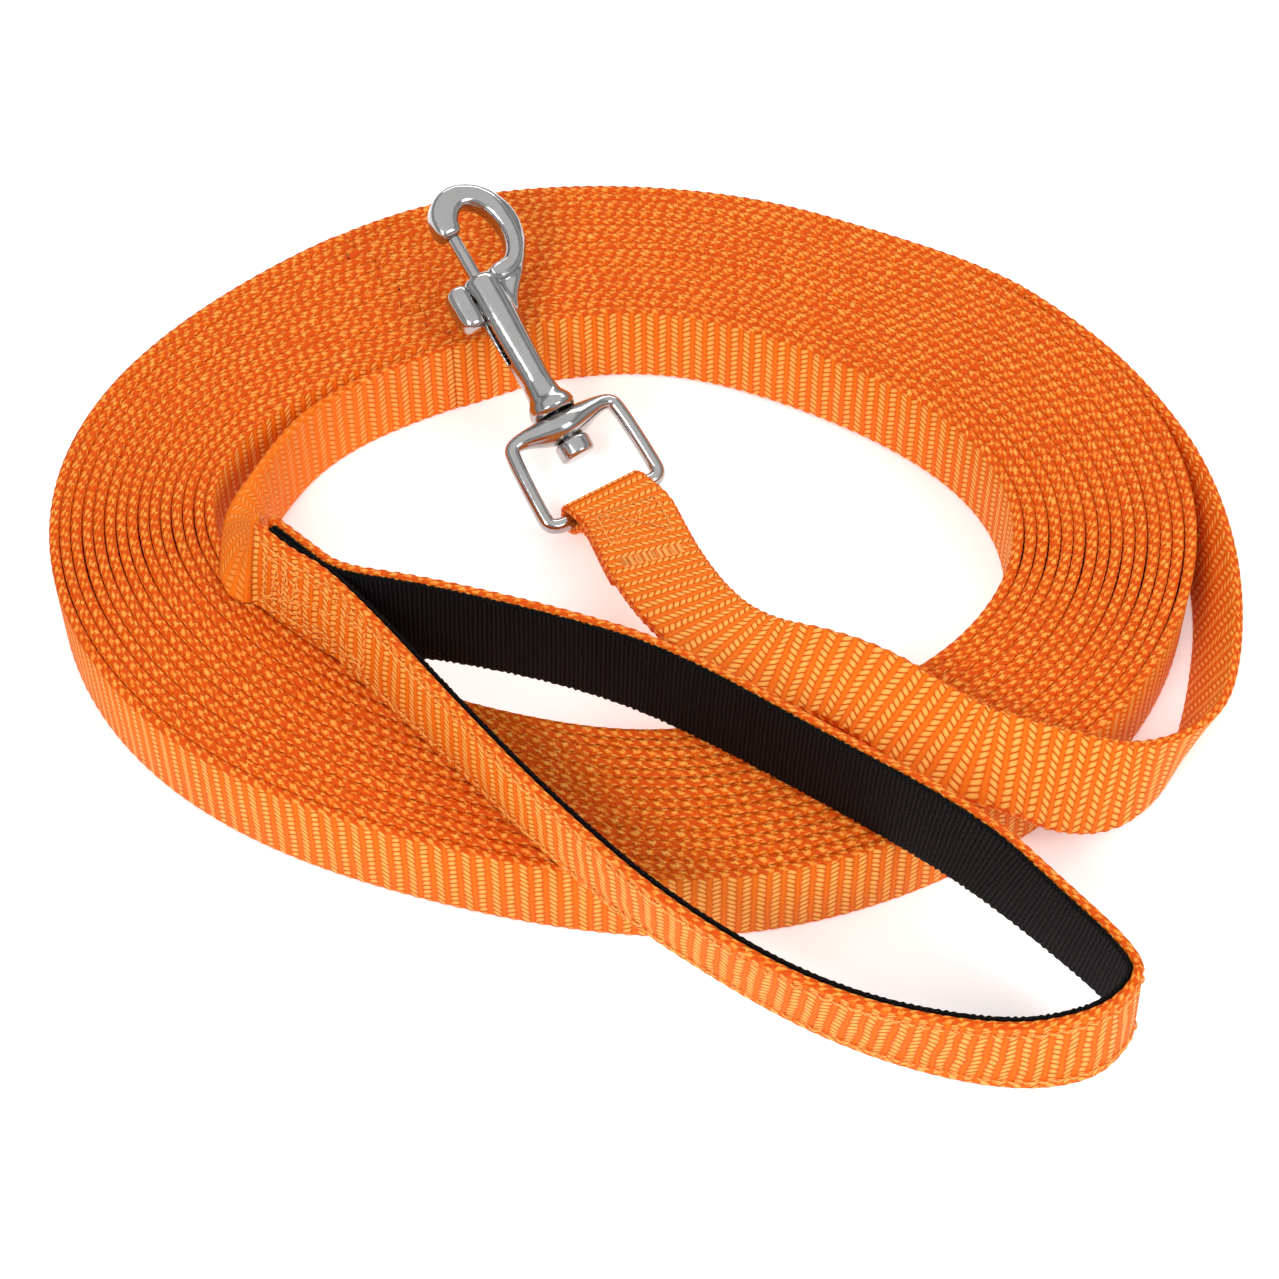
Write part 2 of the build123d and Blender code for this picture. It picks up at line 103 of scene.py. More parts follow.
HANDLE = (
    ((-80.9, -4.9, 20.5), (-76.4, -3.3, 39.2)),
    ((-72.5, -12.0, 20.5), (-69.6, -10.2, 39.4)),
    ((-63.8, -18.4, 20.6), (-63.0, -14.5, 39.6)),
    ((-53.4, -30.2, 20.7), (-50.9, -29.1, 39.9)),
    ((-36.0, -49.1, 20.7), (-36.4, -48.5, 40.2)),
    ((-16.4, -71.8, 20.6), (-17.0, -72.7, 40.2)),
    ((5.0, -92.1, 20.9), (5.8, -96.6, 40.0)),
    ((34.5, -109.3, 15.8), (33.5, -112.2, 35.3)),
    ((63.3, -116.9, 12.2), (63.8, -117.1, 31.6)),
    ((81.7, -115.7, 11.5), (81.5, -113.3, 31.0)),
    ((90.3, -107.5, 11.4), (89.8, -106.3, 31.0)),
    ((91.9, -100.0, 11.1), (90.7, -99.8, 30.8)),
    ((75.1, -84.2, 14.9), (74.6, -83.6, 34.3)),
    ((60.5, -74.6, 20.4), (60.8, -72.3, 39.5)),
    ((35.7, -56.9, 20.9), (35.6, -55.6, 40.5)),
    ((5.3, -36.6, 20.9), (6.1, -34.4, 40.2)),
    ((-14.6, -27.6, 20.9), (-16.2, -25.9, 40.0)),
    ((-37.5, -21.6, 20.9), (-37.1, -19.5, 39.8)),
    ((-48.1, -20.3, 20.9), (-46.3, -16.9, 39.5)),
    ((-61.1, -16.8, 19.6), (-60.2, -13.3, 38.6)),
    ((-69.4, -8.9, 19.5), (-66.5, -7.1, 38.5)),
    ((-77.9, -2.1, 19.6), (-73.4, -0.5, 38.3)),
)

# %% Route of the tail
TAIL = (
    ((88.0, 86.6, 0.0), (88.0, 86.6, 20.0)),
    ((97.4, 77.2, 0.0), (97.4, 77.2, 20.0)),
    ((107.0, 64.0, 0.1), (107.2, 64.0, 20.0)),
    ((114.0, 49.6, 0.1), (114.8, 49.8, 20.0)),
    ((118.0, 35.0, 0.3), (120.4, 35.6, 19.8)),
    ((119.4, 19.0, 0.5), (123.6, 20.0, 19.7)),
    ((118.8, 2.0, 0.6), (124.6, 3.0, 19.5)),
    ((115.4, -14.0, 0.6), (122.8, -15.0, 19.1)),
    ((111.2, -28.0, 0.7), (118.6, -30.4, 19.1)),
    ((107.6, -37.4, 1.0), (111.6, -39.0, 20.4)),
    ((101.6, -46.0, 1.6), (103.2, -43.8, 21.2)),
    ((93.4, -53.6, 4.0), (94.4, -45.4, 22.2)),
    ((83.6, -58.6, 11.6), (82.8, -45.4, 25.2)),
    ((74.6, -61.0, 19.7), (71.8, -43.0, 28.3)),
    ((66.0, -60.2, 22.4), (62.4, -40.6, 29.0)),
    ((57.2, -54.0, 24.4), (53.0, -34.6, 29.4)),
    ((47.0, -45.6, 26.4), (41.6, -26.4, 29.8)),
    ((36.0, -41.0, 27.6), (32.4, -21.8, 29.4)),
    ((22.4, -37.4, 28.6), (25.2, -18.4, 28.2)),
    ((9.2, -28.6, 28.4), (20.8, -12.8, 26.4)),
    ((1.6, -18.0, 25.8), (18.0, -6.6, 24.4)),
    ((-2.8, -8.6, 22.8), (15.4, -0.6, 22.6)),
    ((-6.6, 2.4, 18.8), (12.0, 9.8, 18.8)),
    ((-9.6, 14.2, 14.4), (8.8, 22.0, 14.4)),
)

print("stations: inner run", len(INNER_RUN), "hand loop", len(HANDLE), "tail", len(TAIL))

# %% [markdown]
# ## Clip and coil
#
# The clip lies at a slant, so its places are given along it, across it and square to it, from the
# middle of the eye's bar.  The coil is an oval band.  Its inner and outer outlines could be drawn
# as ellipses, but the real oval is a little uneven, so each is given by its radius at sixteen
# evenly spaced angles.

# %% Clip and coil sizes
BAR_CENTRE = np.array((-7.2, 34.9, 5.0))
CLIP_AZIMUTH = math.radians(124.8)
CLIP_LEAN = math.radians(29.0)
BAR_R = 1.7
BAR_CLEARANCE = 0.08
TAIL_RISE = math.radians(17.0)
TAIL_LEAD_IN = 8.5

COIL_CENTRE = np.array((-4.0, 21.0))
COIL_INNER_R = (82.5, 73.2, 63.0, 59.1, 58.3, 59.5, 66.0, 78.0,
                86.0, 76.0, 65.8, 60.4, 60.3, 63.4, 71.3, 80.0)
COIL_OUTER_R = (121.6, 116.4, 106.6, 102.4, 101.6, 104.7, 108.1, 115.9,
                120.9, 115.0, 104.0, 96.1, 96.6, 101.3, 108.2, 117.0)
# The strap leaves the coil's inner side at the first angle and its outer side at the second.
COIL_START, COIL_END = 128.0, 35.5
TURNS = 15


# %% Directions of the clip
def unit(v):
    """The vector, or each vector of a row, at length one."""
    return v / np.linalg.norm(v, axis=-1, keepdims=True)


def clip_axes():
    """Along the clip, across it towards the hook, and square to its flat."""
    along = np.array((math.cos(CLIP_LEAN) * math.cos(CLIP_AZIMUTH),
                      math.cos(CLIP_LEAN) * math.sin(CLIP_AZIMUTH), math.sin(CLIP_LEAN)))
    across = np.array((math.sin(CLIP_AZIMUTH), -math.cos(CLIP_AZIMUTH), 0.0))
    return along, across, np.cross(across, along)


def with_clip_end(stations):
    """The tail's route, ended on top of the eye's bar."""
    along, across, _ = clip_axes()
    away = unit(np.array((-along[0], -along[1], 0.0)))
    up = np.array((0.0, 0.0, 1.0))
    run = away * math.cos(TAIL_RISE) + up * math.sin(TAIL_RISE)
    normal = up * math.cos(TAIL_RISE) - away * math.sin(TAIL_RISE)
    end = BAR_CENTRE + normal * (BAR_R + BAR_CLEARANCE + WEB_THICK / 2)
    near = end + run * TAIL_LEAD_IN
    half = across * (WEB_WIDTH / 2)
    return stations + ((near - half, near + half), (end - half, end + half))


print("along the clip", clip_axes()[0].round(3), "tail ends at", with_clip_end(TAIL)[-1][0].round(1))

# %% [markdown]
# ## From routes to straps
#
# A strap is a row of sections.  Each section has a centre, a unit vector across the strap and
# a normal.  A bevelled curve could draw a strap too, but it can't lean and twist as webbing does.
# So the edges are Blender's own NURBS splines, read back as points, and the sections are then
# spaced evenly along the strap so that the weave keeps its scale.

# %% Splines
def spline_points(points, resolution=24):
    """Points along the NURBS spline that has these control points."""
    curve = bpy.data.curves.new("route", "CURVE")
    curve.dimensions = "3D"
    spline = curve.splines.new("NURBS")
    spline.points.add(len(points) - 1)
    for slot, p in zip(spline.points, points):
        slot.co = (*(float(c) for c in p), 1.0)
    spline.order_u = 3
    spline.use_endpoint_u = True
    curve.resolution_u = resolution
    holder = bpy.data.objects.new("route", curve)
    mesh = bpy.data.meshes.new_from_object(holder)
    found = np.array([v.co for v in mesh.vertices], float)
    bpy.data.objects.remove(holder)
    bpy.data.curves.remove(curve)
    bpy.data.meshes.remove(mesh)
    return found


def lengths(points):
    """How far along the row each point is."""
    steps = np.linalg.norm(np.diff(points, axis=0), axis=1)
    return np.concatenate(([0.0], np.cumsum(steps)))


def resample(values, s, wanted):
    """Vectors known at places s, read at the wanted places."""
    return np.stack([np.interp(wanted, s, values[:, k]) for k in range(values.shape[1])], axis=1)


print("lower edge of the hand loop", round(lengths(spline_points([a for a, _ in HANDLE]))[-1]), "mm")


# %% Sections of a strap
class Strap:
    """Sections of a strap: centre, across (unit), normal (unit), half width and place along it."""

    def __init__(self, centre, across, half, step):
        s = lengths(centre)
        count = max(int(round(s[-1] / step)), 2)
        wanted = np.linspace(0.0, s[-1], count + 1)
        self.s = wanted
        self.length = s[-1]
        self.centre = resample(centre, s, wanted)
        tangent = unit(np.gradient(self.centre, axis=0))
        raw = resample(across, s, wanted)
        self.across = unit(raw - tangent * np.sum(raw * tangent, axis=1, keepdims=True))
        self.normal = unit(np.cross(tangent, self.across))
        self.half = np.interp(wanted, s, half)

    def moved(self, distance, width):
        """The strap that lies this far off the first one's middle, with its own width."""
        centre = self.centre + self.normal * distance
        half = np.full(len(centre), width / 2)
        return Strap(centre, self.across, half, self.length / (len(self.s) - 1))

    def part(self, start, end):
        """Numbers of the sections between two places along the strap."""
        return np.where((self.s >= start) & (self.s <= end))[0]


def strap_from(stations, step, width=WEB_WIDTH):
    """A strap through paired edge points; without a width it keeps the pairs' own."""
    first = spline_points([a for a, _ in stations])
    second = spline_points([b for _, b in stations])
    across = second - first
    half = np.linalg.norm(across, axis=1) / 2 if width is None else np.full(len(first), width / 2)
    return Strap((first + second) / 2, across, half, step)


print("hand loop has", len(strap_from(HANDLE, STEP).s), "sections")

# %% [markdown]
# ## Meshes
#
# One function turns rings of points into a closed mesh.  Each point also keeps its own place in
# the cloth: how far along the strap and across it, in millimetres, and where in its thickness.
# An unwrapped map could do the same job, but these places need no unwrapping, and the weave that
# is drawn from them keeps its real size however the strap bends.

# %% Mesh building
def place(points):
    """From the coil's axes in millimetres to the row frame in metres."""
    return (np.asarray(points, float) + TO_BOX_CENTRE) * MM


def mesh_object(name, verts, faces, cloth=None, smooth=True):
    """A new piece from points in metres, with each point's place in the cloth."""
    mesh = bpy.data.meshes.new(name)
    mesh.from_pydata(verts.tolist(), [], faces)
    if cloth is not None:
        kept = mesh.attributes.new("cloth", "FLOAT_VECTOR", "POINT")
        kept.data.foreach_set("vector", cloth.astype(np.float32).ravel())
    mesh.polygons.foreach_set("use_smooth", np.full(len(mesh.polygons), smooth))
    mesh.update()
    piece = bpy.data.objects.new(name, mesh)
    bpy.context.scene.collection.objects.link(piece)
    return piece


def rings_to_mesh(name, rings, along, across, through):
    """A closed skin over rings of points, capped at both ends."""
    n, m, _ = rings.shape
    index = np.arange(n * m).reshape(n, m)
    a = index[:-1]
    b = np.roll(a, -1, axis=1)
    c = np.roll(index[1:], -1, axis=1)
    d = index[1:]
    faces = np.stack([a, d, c, b], axis=-1).reshape(-1, 4).tolist()
    faces.append(index[0].tolist())
    faces.append(index[-1][::-1].tolist())
    cloth = np.stack(np.broadcast_arrays(along[:, None], across[None, :], through[None, :]), axis=-1)
    return mesh_object(name, place(rings.reshape(-1, 3)), faces, cloth.reshape(-1, 3))


print("the coil's middle in the frame, in metres", place(((0.0, 0.0, 0.0),))[0].round(5))

# %% [markdown]
# A strap's section is a flat loop of points.  Webbing isn't a plain strip: its face is ribbed, a
# slanted knot of thread closes each rib at either edge, and a row of sewing pulls it in.  All
# three are real shape here, so that they also show in the outline.

# %% Woven section
# Sections as (share of the half width, share of the half thickness).
PLAIN_SECTION = ((-0.93, 1.0), (0.0, 1.0), (0.93, 1.0), (0.985, 0.6), (1.0, 0.0), (0.985, -0.6),
                 (0.93, -1.0), (0.0, -1.0), (-0.93, -1.0), (-0.985, -0.6), (-1.0, 0.0), (-0.985, 0.6))
SEWN_ACROSS = (-0.93, -0.82, -0.74, -0.66, -0.35, 0.0, 0.35, 0.66, 0.74, 0.82, 0.93)
SEWN_SECTION = (tuple((a, 1) for a in SEWN_ACROSS) + ((0.985, 0.6), (1.0, 0.0), (0.985, -0.6))
                + tuple((-a, -1) for a in SEWN_ACROSS) + ((-0.985, -0.6), (-1.0, 0.0), (-0.985, 0.6)))
# Points beyond this share of the half width belong to the woven edge.
EDGE_FROM = 0.95
KNOT_SLANT = 0.34
# How wide the dip along a row of sewing is, how deep, and how much less of it a rib's crest takes.
DIP_REACH, DIP_DEPTH, DIP_ON_RIB = 0.9, 0.30, 0.14


def webbing(name, strap, thick=WEB_THICK, rib=RIB, section=PLAIN_SECTION, relief=0.10, bead=0.16,
            sewn=()):
    """A woven strap: ribs across it, a slanted knot at each rib's ends, dips where it is sewn."""
    across = np.array([a for a, _ in section], float)
    off = np.array([t for _, t in section], float)
    half_thick = np.broadcast_to(np.asarray(thick, float) / 2, strap.s.shape)[:, None]
    wave = np.cos(2 * np.pi * strap.s / rib)[:, None]
    is_edge = np.abs(across) > EDGE_FROM
    knots = np.cos(2 * np.pi * (strap.s[:, None] / rib + 0.5 + KNOT_SLANT * off[None, :]))
    reach = across[None, :] * strap.half[:, None] + np.sign(across)[None, :] * is_edge * bead * knots
    height = off[None, :] * (half_thick + relief * (wave - 1) * 0.5 * ~is_edge)
    for row, start, end in sewn:
        near = np.exp(-((across * WEB_WIDTH / 2 - row) / DIP_REACH) ** 2)[None, :]
        here = ((strap.s >= start) & (strap.s <= end))[:, None]
        height = height - off[None, :] * near * here * (DIP_DEPTH - DIP_ON_RIB * wave)
    rings = (strap.centre[:, None, :] + strap.across[:, None, :] * reach[..., None]
             + strap.normal[:, None, :] * height[..., None])
    return rings_to_mesh(name, rings, strap.s, across * WEB_WIDTH / 2, off)


print("points round a section: plain", len(PLAIN_SECTION), "sewn", len(SEWN_SECTION))

# %% [markdown]
# ## Shader sums
#
# A weave is a sum of waves and steps.  It could be wired up node by node, but then the sum is hard
# to see.  `Shade` wraps a shader socket so that a pattern can be written as ordinary arithmetic.
# Each operator adds one Math node, and `node` makes any other node.

# %% Shader helper
class Shade:
    """A value in a material, with arithmetic that adds Math nodes."""

    def __init__(self, tree, socket=None):
        self.tree = tree
        self.socket = socket

    def node(self, kind, settings, inputs, output=0):
        """Any node: its settings, then the values or links of its sockets, and one of its outputs."""
        made = self.tree.nodes.new(kind)
        for key, value in settings.items():
            setattr(made, key, value)
        for key, value in inputs.items():
            if isinstance(value, Shade):
                self.tree.links.new(value.socket, made.inputs[key])
            else:
                made.inputs[key].default_value = value
        return Shade(self.tree, made.outputs[output])

    def math(self, operation, *others):
        """One Math node of this value and the others."""
        return self.node("ShaderNodeMath", {"operation": operation}, dict(enumerate((self, *others))))

    def __add__(self, other):
        return self.math("ADD", other)

    __radd__ = __add__

    def __sub__(self, other):
        return self.math("SUBTRACT", other)

    def __rsub__(self, other):
        return self * -1.0 + other

    def __mul__(self, other):
        return self.math("MULTIPLY", other)

    __rmul__ = __mul__

    def __truediv__(self, other):
        return self.math("DIVIDE", other)

    def __pow__(self, other):
        return self.math("POWER", other)

    def hump(self, middle, reach):
        """A rounded hump: 1 at the middle, 0 beyond its reach."""
        far = (self - middle) / reach
        return (1.0 - far * far).math("MAXIMUM", 0.0)

    def step(self, low, high):
        """A smooth rise from 0 at low to 1 at high."""
        return self.node("ShaderNodeMapRange", {"interpolation_type": "SMOOTHSTEP"},
                         {"Value": self, "From Min": low, "From Max": high})

    def mix(self, first, second):
        """The colour between two, with this as the share of the second."""
        return self.node("ShaderNodeMix", {"data_type": "RGBA"}, {0: self, 6: first, 7: second}, 2)

    def noise(self, scale, detail=2.0, distortion=0.0):
        """Noise at this place in space."""
        return self.node("ShaderNodeTexNoise", {}, {"Vector": self, "Scale": scale, "Detail": detail,
                                                    "Distortion": distortion})


print("Shade turns + - * / and ** into Math nodes")

# %% [markdown]
# Every material here starts in the same way: a Principled shader with its even values set on its
# own sockets, and the place in space, from which the noises are drawn.

# %% Starting a material
def new_material(name, roughness, metallic=0.0, sheen=0.0, specular=0.5):
    """A material, its Principled node, and the place in space to draw its pattern from."""
    made = bpy.data.materials.new(name)
    made.use_nodes = True
    shader = made.node_tree.nodes["Principled BSDF"]
    shader.inputs["Roughness"].default_value = roughness
    shader.inputs["Metallic"].default_value = metallic
    shader.inputs["Sheen Weight"].default_value = sheen
    shader.inputs["Specular IOR Level"].default_value = specular
    return made, shader, Shade(made.node_tree).node("ShaderNodeTexCoord", {}, {}, "Object")


def cloth_place(solid):
    """The place in the cloth, in millimetres: along, across and through."""
    kept = solid.node("ShaderNodeAttribute", {"attribute_name": "cloth"}, {}, "Vector")
    return [solid.node("ShaderNodeSeparateXYZ", {}, {0: kept}, k) for k in range(3)]


def feed(shader, name, value):
    """Links a value or a colour to one of the shader's sockets."""
    value.tree.links.new(value.socket, shader.inputs[name])


def bump(shader, height, distance):
    """Fine relief, drawn as shading only; the distance is in metres."""
    relief = {"Height": height, "Distance": distance, "Strength": 1.0}
    feed(shader, "Normal", height.node("ShaderNodeBump", {}, relief))


def colour(red, green, blue):
    """A linear colour from an ordinary 0-255 one."""
    def linear(c):
        c = c / 255
        return c / 12.92 if c <= 0.04045 else ((c + 0.055) / 1.055) ** 2.4
    return (linear(red), linear(green), linear(blue), 1.0)


print("middle grey is", round(colour(128, 128, 128)[0], 3), "as a linear value")

# %% [markdown]
# ## Webbing
#
# The weave alternates two kinds of column across the strap: a column of short dashes, whose slant
# turns over from one column to the next, and a smooth, darker one.  The edges carry one slanted
# knot at each rib.  The dashes and the knots are painted lighter, as painted highlights, and the low
# places between them darker, as painted shade.  A woven image could be laid over the strap, but a
# pattern worked out from the place in the cloth stays sharp at any distance.  Polyester shines a
# little along its threads, so the bright dashes are also a little less rough.

# %% Webbing material
def webbing_material(name, deep, middle, bright, rib, dash, specular, wander=0.1, rolled=0.0):
    """Woven cloth, with painted shade in its low places and painted highlights on its dashes and knots;
    wander bends its ribs as sewing does, and rolled fades that painted shade and those highlights as a bend
    does.
    """
    made, shader, solid = new_material(name, 0.62, specular=specular)
    along, across, through = cloth_place(solid)
    # What is never quite even in cloth: thread by thread, patch by patch, and where it is pulled.
    uneven = solid.noise(420.0, 1.0)
    fibres = solid.noise(2600.0, 3.0)
    patches = solid.noise(38.0, 2.0)
    pulled = solid.noise(170.0, 1.0) - 0.5
    ragged = solid.noise(1300.0, 1.0) - 0.5
    contrast = 1.0 - along.step(5.0, 60.0) * rolled
    # The face: which column this is, and where in the column and in its row of dashes.
    column = along / rib + (uneven - 0.5) * 0.16 + pulled * wander
    odd = column.math("FLOOR").math("PINGPONG", 1.0)
    place_in = column.math("FRACT")
    slant = (odd * 2.0 - 1.0) * (place_in - 0.3) * 1.1
    row = (across / dash + slant + odd * 0.5 + (uneven - 0.5) * 0.25).math("FRACT")
    dashes = (place_in.hump(0.32, 0.34) * row.hump(0.5, 0.48)) ** 0.5
    smooth = place_in.hump(0.81, 0.22) ** 0.5
    # The edges: an upper and a lower row of slanted knots, half a rib apart.
    edge = across.math("ABSOLUTE").step(WEB_WIDTH / 2 * 0.93, WEB_WIDTH / 2 * 0.975)
    knot_place = along / rib + 0.5 + through * KNOT_SLANT + (uneven - 0.5) * 0.5 + ragged * 0.45
    shifted = through + pulled * 1.6 + ragged * 1.1
    upper_knot = knot_place.math("FRACT").hump(0.5, 0.36) * shifted.hump(0.35, 0.62)
    lower_knot = (knot_place + 0.5).math("FRACT").hump(0.5, 0.32) * shifted.hump(-0.5, 0.55)
    knots = upper_knot.math("MAXIMUM", lower_knot) ** 0.7 * (0.45 + uneven * 0.8)
    # Height gives the relief and, with the fibres, the colour: low places are painted darker, as painted
    # shade, and the dashes and knots lighter, as painted highlights.
    face_height = dashes.math("MAXIMUM", smooth * 0.62)
    height = face_height * (1.0 - edge) + knots * edge
    painted_highlight = (dashes * (1.0 - edge) * 0.92 + knots * edge * 0.80) * (0.70 + fibres * 0.55)
    # Painted shade: the low places take the deep colour, the higher ones the middle colour.
    body = (height * (0.7 + patches * 0.6) + (1.0 - contrast)).step(0.05, 0.75).mix(deep, middle)
    # Painted highlight: the dashes and knots are drawn towards the bright colour.
    feed(shader, "Base Color", (painted_highlight.step(0.28, 0.95) * contrast).mix(body, bright))
    feed(shader, "Roughness", 0.70 - painted_highlight * 0.18)
    bump(shader, height + fibres * 0.25, 0.00028)
    return made


# Each webbing's three colours: painted shade for its low places, its own colour, and a painted highlight
# for its dashes and knots.
SHADES = colour(213, 77, 2), colour(236, 114, 8), colour(253, 180, 86)
ORANGE = webbing_material("orange_webbing", *SHADES, RIB, DASH, 0.16)
SEWN_ORANGE = webbing_material("orange_webbing_sewn", *SHADES, RIB, DASH, 0.16, wander=0.42)
ROLLED_ORANGE = webbing_material("orange_webbing_rolled", colour(214, 76, 0), colour(240, 116, 14),
                                 colour(255, 174, 84), RIB, DASH, 0.16, rolled=0.6)
# The lining's fine weave is closer than the ribs of its shape.
LINING_WEAVE, LINING_DASH = LINING_RIB * 0.6, 0.75
LINING = webbing_material("black_lining", colour(3, 3, 3), colour(9, 8, 8), colour(36, 32, 31),
                          LINING_WEAVE, LINING_DASH, 0.10, wander=0.25)
print("webbing materials:", [m.name for m in (ORANGE, SEWN_ORANGE, ROLLED_ORANGE, LINING)])

# %% [markdown]
# ## Thread
#
# The sewing thread is a little glossier and brighter than the webbing, and its plies twist round
# each other.  A sine of the place along the thread and round it draws the twist, as relief and as
# colour painted lighter on each ply's crest and darker in its groove: painted highlight and shade.

# %% Thread material
def thread_material():
    """Twisted orange sewing thread."""
    made, shader, solid = new_material("orange_thread", 0.5, specular=0.3)
    along, across, through = cloth_place(solid)
    twist = (along * 9.0 + across * 3.0).math("SINE") * 0.5 + 0.5
    # The ply crests are painted lighter, as a painted highlight, and the grooves darker, as painted shade.
    feed(shader, "Base Color", twist.mix(colour(244, 126, 24), colour(255, 192, 104)))
    bump(shader, twist, 0.00008)
    return made


THREAD = thread_material()
print("thread:", THREAD.name)

# %% [markdown]
# ## Nickel
#
# The fittings are plated castings.  The plate is smooth, with a faint casting ripple, fine
# scratches, and slightly duller patches where the parts are handled.  A plain mirror would look
# like glass, so one noise shifts the colour and the roughness together, as handling does.

# %% Nickel material
def nickel_material(name, rough, dark, light):
    """Plated metal, from its duller to its brighter patches."""
    made, shader, solid = new_material(name, rough, metallic=1.0)
    ripple = solid.noise(260.0, 2.0)
    scratch = solid.noise(2400.0, 4.0, 1.5)
    feed(shader, "Base Color", ripple.mix(dark, light))
    feed(shader, "Roughness", ripple * 0.10 + scratch * 0.08 + (rough - 0.07))
    bump(shader, ripple + scratch * 0.05, 0.00006)
    return made


NICKEL = nickel_material("nickel", 0.13, (0.40, 0.395, 0.39, 1.0), (0.50, 0.495, 0.49, 1.0))
SPRING = nickel_material("spring_wire", 0.3, (0.28, 0.28, 0.28, 1.0), (0.4, 0.4, 0.4, 1.0))
print("metals:", NICKEL.name, SPRING.name)

# %% [markdown]
# Each new piece is then tied to the frame in the same three steps: its finish, the body that it
# moves with, and the CAD nodes that it stands for, which are hidden.

# %% Finishing a piece
def finish_piece(piece, material, slot, *replaced, body="lead"):
    """Gives a new piece its material and ties it to a CAD body; slot is not used."""
    piece.data.materials.clear()
    piece.data.materials.append(material)
    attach(piece, body)
    if replaced:
        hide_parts(*replaced)
    return piece


# %% [markdown]
# ## The coil
#
# The strap winds clockwise outwards, fifteen and a quarter turns, between the coil's inner and
# outer outlines.  The turns could be closed rings, which is easier, but then the strap would have
# no ends.  So it is one true spiral.  The back of the coil holds one layer more than the rest,
# because both ends leave there, so a layer's share of the band shifts smoothly as it passes
# either end.

# %% Outlines of the coil
def outline(radii, degrees):
    """The outline's radius at any angle: the one smooth periodic curve through the given ones."""
    terms = np.fft.rfft(radii) / len(radii)
    angle = np.radians(degrees)
    total = np.full_like(angle, terms[0].real)
    for k in range(1, len(terms)):
        weight = 1 if 2 * k == len(radii) else 2
        total += weight * (terms[k].real * np.cos(k * angle) - terms[k].imag * np.sin(k * angle))
    return total


def ease(x):
    """A smooth rise from 0 to 1."""
    x = np.clip(x, 0.0, 1.0)
    return x * x * (3 - 2 * x)


band = outline(COIL_OUTER_R, [90.0]) - outline(COIL_INNER_R, [90.0])
print("band at the back", band.round(1), "mm")


# %% Winding of the coil
# Past the inner end, and from the second place on at the outer end, a layer takes this many
# degrees to shift to its new share of the band.
SHIFT_AT_START, SHIFT_AT_END, END_SHIFT_FROM = 24.0, 26.0, 66.0
# The layers wander in and out and ride up by these amounts, in millimetres.
WOBBLE, LIFT = 0.05, 0.22
# Near its ends the strap lies still, and over the last degrees it meets the free stretches.
CALM, MEETING = 40.0, 18.0


def coil_route(turned):
    """Centre of the strap after turning so many degrees clockwise from the inner end."""
    layer = np.floor(turned / 360.0)
    past = turned - 360.0 * layer
    theta = COIL_START - past
    sides = TURNS - 1
    at_start = ease(past / SHIFT_AT_START)
    at_end = ease((past - END_SHIFT_FROM) / SHIFT_AT_END)
    share = (1 - at_start) * (layer - 1) / sides + at_start * layer / TURNS
    share = (1 - at_end) * share + at_end * layer / sides
    inner = outline(COIL_INNER_R, theta)
    outer = outline(COIL_OUTER_R, theta)
    room = WEB_THICK / 2 + 0.1
    radius = inner + room + (outer - inner - 2 * room) * share
    wobble = sum(WOBBLE / k * np.sin(np.radians(theta) * k * 3 + layer * 2.4 * k) for k in (1, 2, 3))
    ends = ease(turned / CALM) * ease((turned[-1] - turned) / CALM)
    radius = radius + wobble * ends
    x = COIL_CENTRE[0] + radius * np.cos(np.radians(theta))
    y = COIL_CENTRE[1] + radius * np.sin(np.radians(theta))
    lift = (LIFT + LIFT * np.sin(layer * 1.9 + np.radians(theta) * 1.5)) * ends
    return np.stack([x, y, WEB_WIDTH / 2 + lift], axis=1)


def coil():
    """The wound strap, ending where the free stretches begin."""
    total = 360.0 * TURNS + (COIL_START - COIL_END)
    turned = np.linspace(0.0, total, 12000)
    route = coil_route(turned)
    for end, target in ((0, INNER_RUN[0]), (-1, TAIL[0])):
        middle = (np.array(target[0]) + np.array(target[1])) / 2
        from_end = turned if end == 0 else total - turned
        route = route + (1 - ease(from_end / MEETING))[:, None] * (middle - route[end])
    down = np.tile(np.array((0.0, 0.0, -1.0)), (len(route), 1))
    return Strap(route, down, np.full(len(route), WEB_WIDTH / 2), STEP)


def stretch(strap, start, end):
    """Part of a strap as a strap of its own, measured from its own start."""
    keep = strap.part(start, end)
    part = object.__new__(Strap)
    for name in ("s", "centre", "across", "normal", "half"):
        setattr(part, name, getattr(strap, name)[keep])
    part.s = part.s - part.s[0]
    part.length = part.s[-1]
    return part


wound = coil()
print("wound strap", round(wound.length), "mm long in", len(wound.s), "sections")

# %% [markdown]
# The coil is skinned as two pieces, because one would have more triangles than a part should.
# Webbing that lies in a coil is soft and full: each layer swells to fill its share of the band,
# and is flat again at the two ends, where it runs on into the free stretches.

# %% Turns of the coil
COIL_SECTION = ((-0.94, 1.0), (0.94, 1.0), (0.985, 0.72), (1.0, 0.25), (1.0, -0.25), (0.985, -0.72),
                (0.94, -1.0), (-0.94, -1.0), (-0.985, -0.6), (-1.0, 0.0), (-0.985, 0.6))
INNER_SHARE = 0.47
# A layer may swell this much, and stays this far from the next one.
SWELL, LAYER_AIR = 0.6, 0.10
FLAT_AT_ENDS = 30.0


